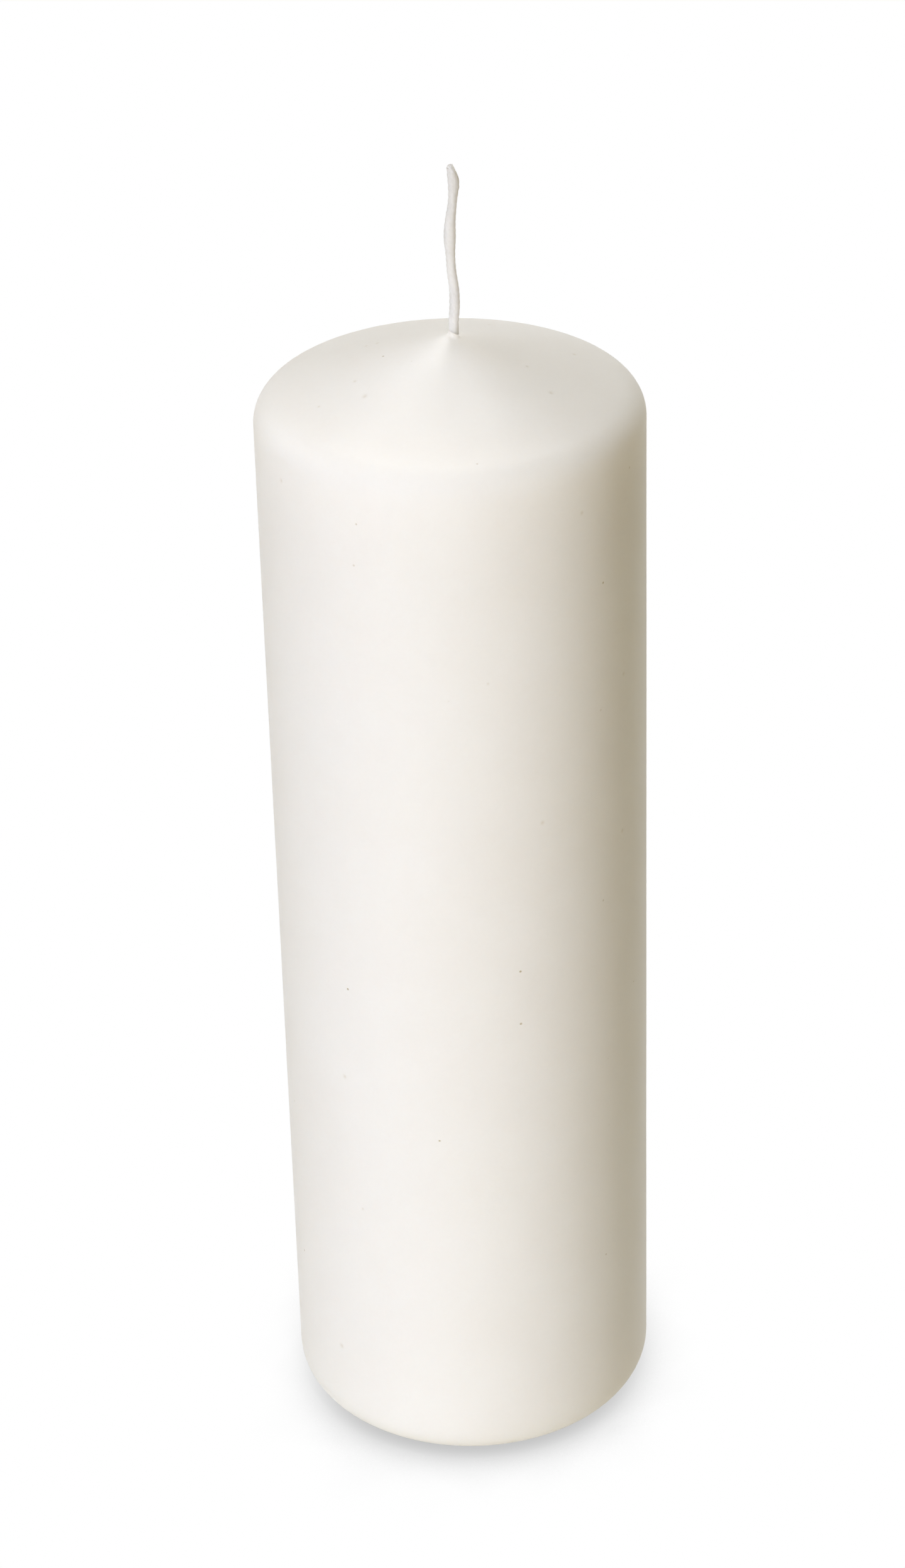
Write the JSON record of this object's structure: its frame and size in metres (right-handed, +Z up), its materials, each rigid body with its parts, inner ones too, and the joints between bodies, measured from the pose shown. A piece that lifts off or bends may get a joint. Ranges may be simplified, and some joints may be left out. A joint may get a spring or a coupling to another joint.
{
  "type": "pillar candle",
  "caption": "Tall ivory pillar candle with a low cone top, rounded shoulder and foot edge, and a braided cotton wick cut at a slant.",
  "frame": {"origin": "middle of the flat foot that the candle stands on", "axes": "+Z up the candle to the wick, -Y towards the picture's viewer, +X to the viewer's right; the wick stands 1.2 mm off the middle towards +X"},
  "size_m": [0.078, 0.078, 0.2852],
  "materials": {
    "wax": "satin ivory paraffin wax, slightly translucent",
    "wick": "waxed braided cotton, unburnt"
  },
  "bodies": {
    "root": {"wax_pillar": "wax", "wick": "wick"}
  },
  "joints": []
}
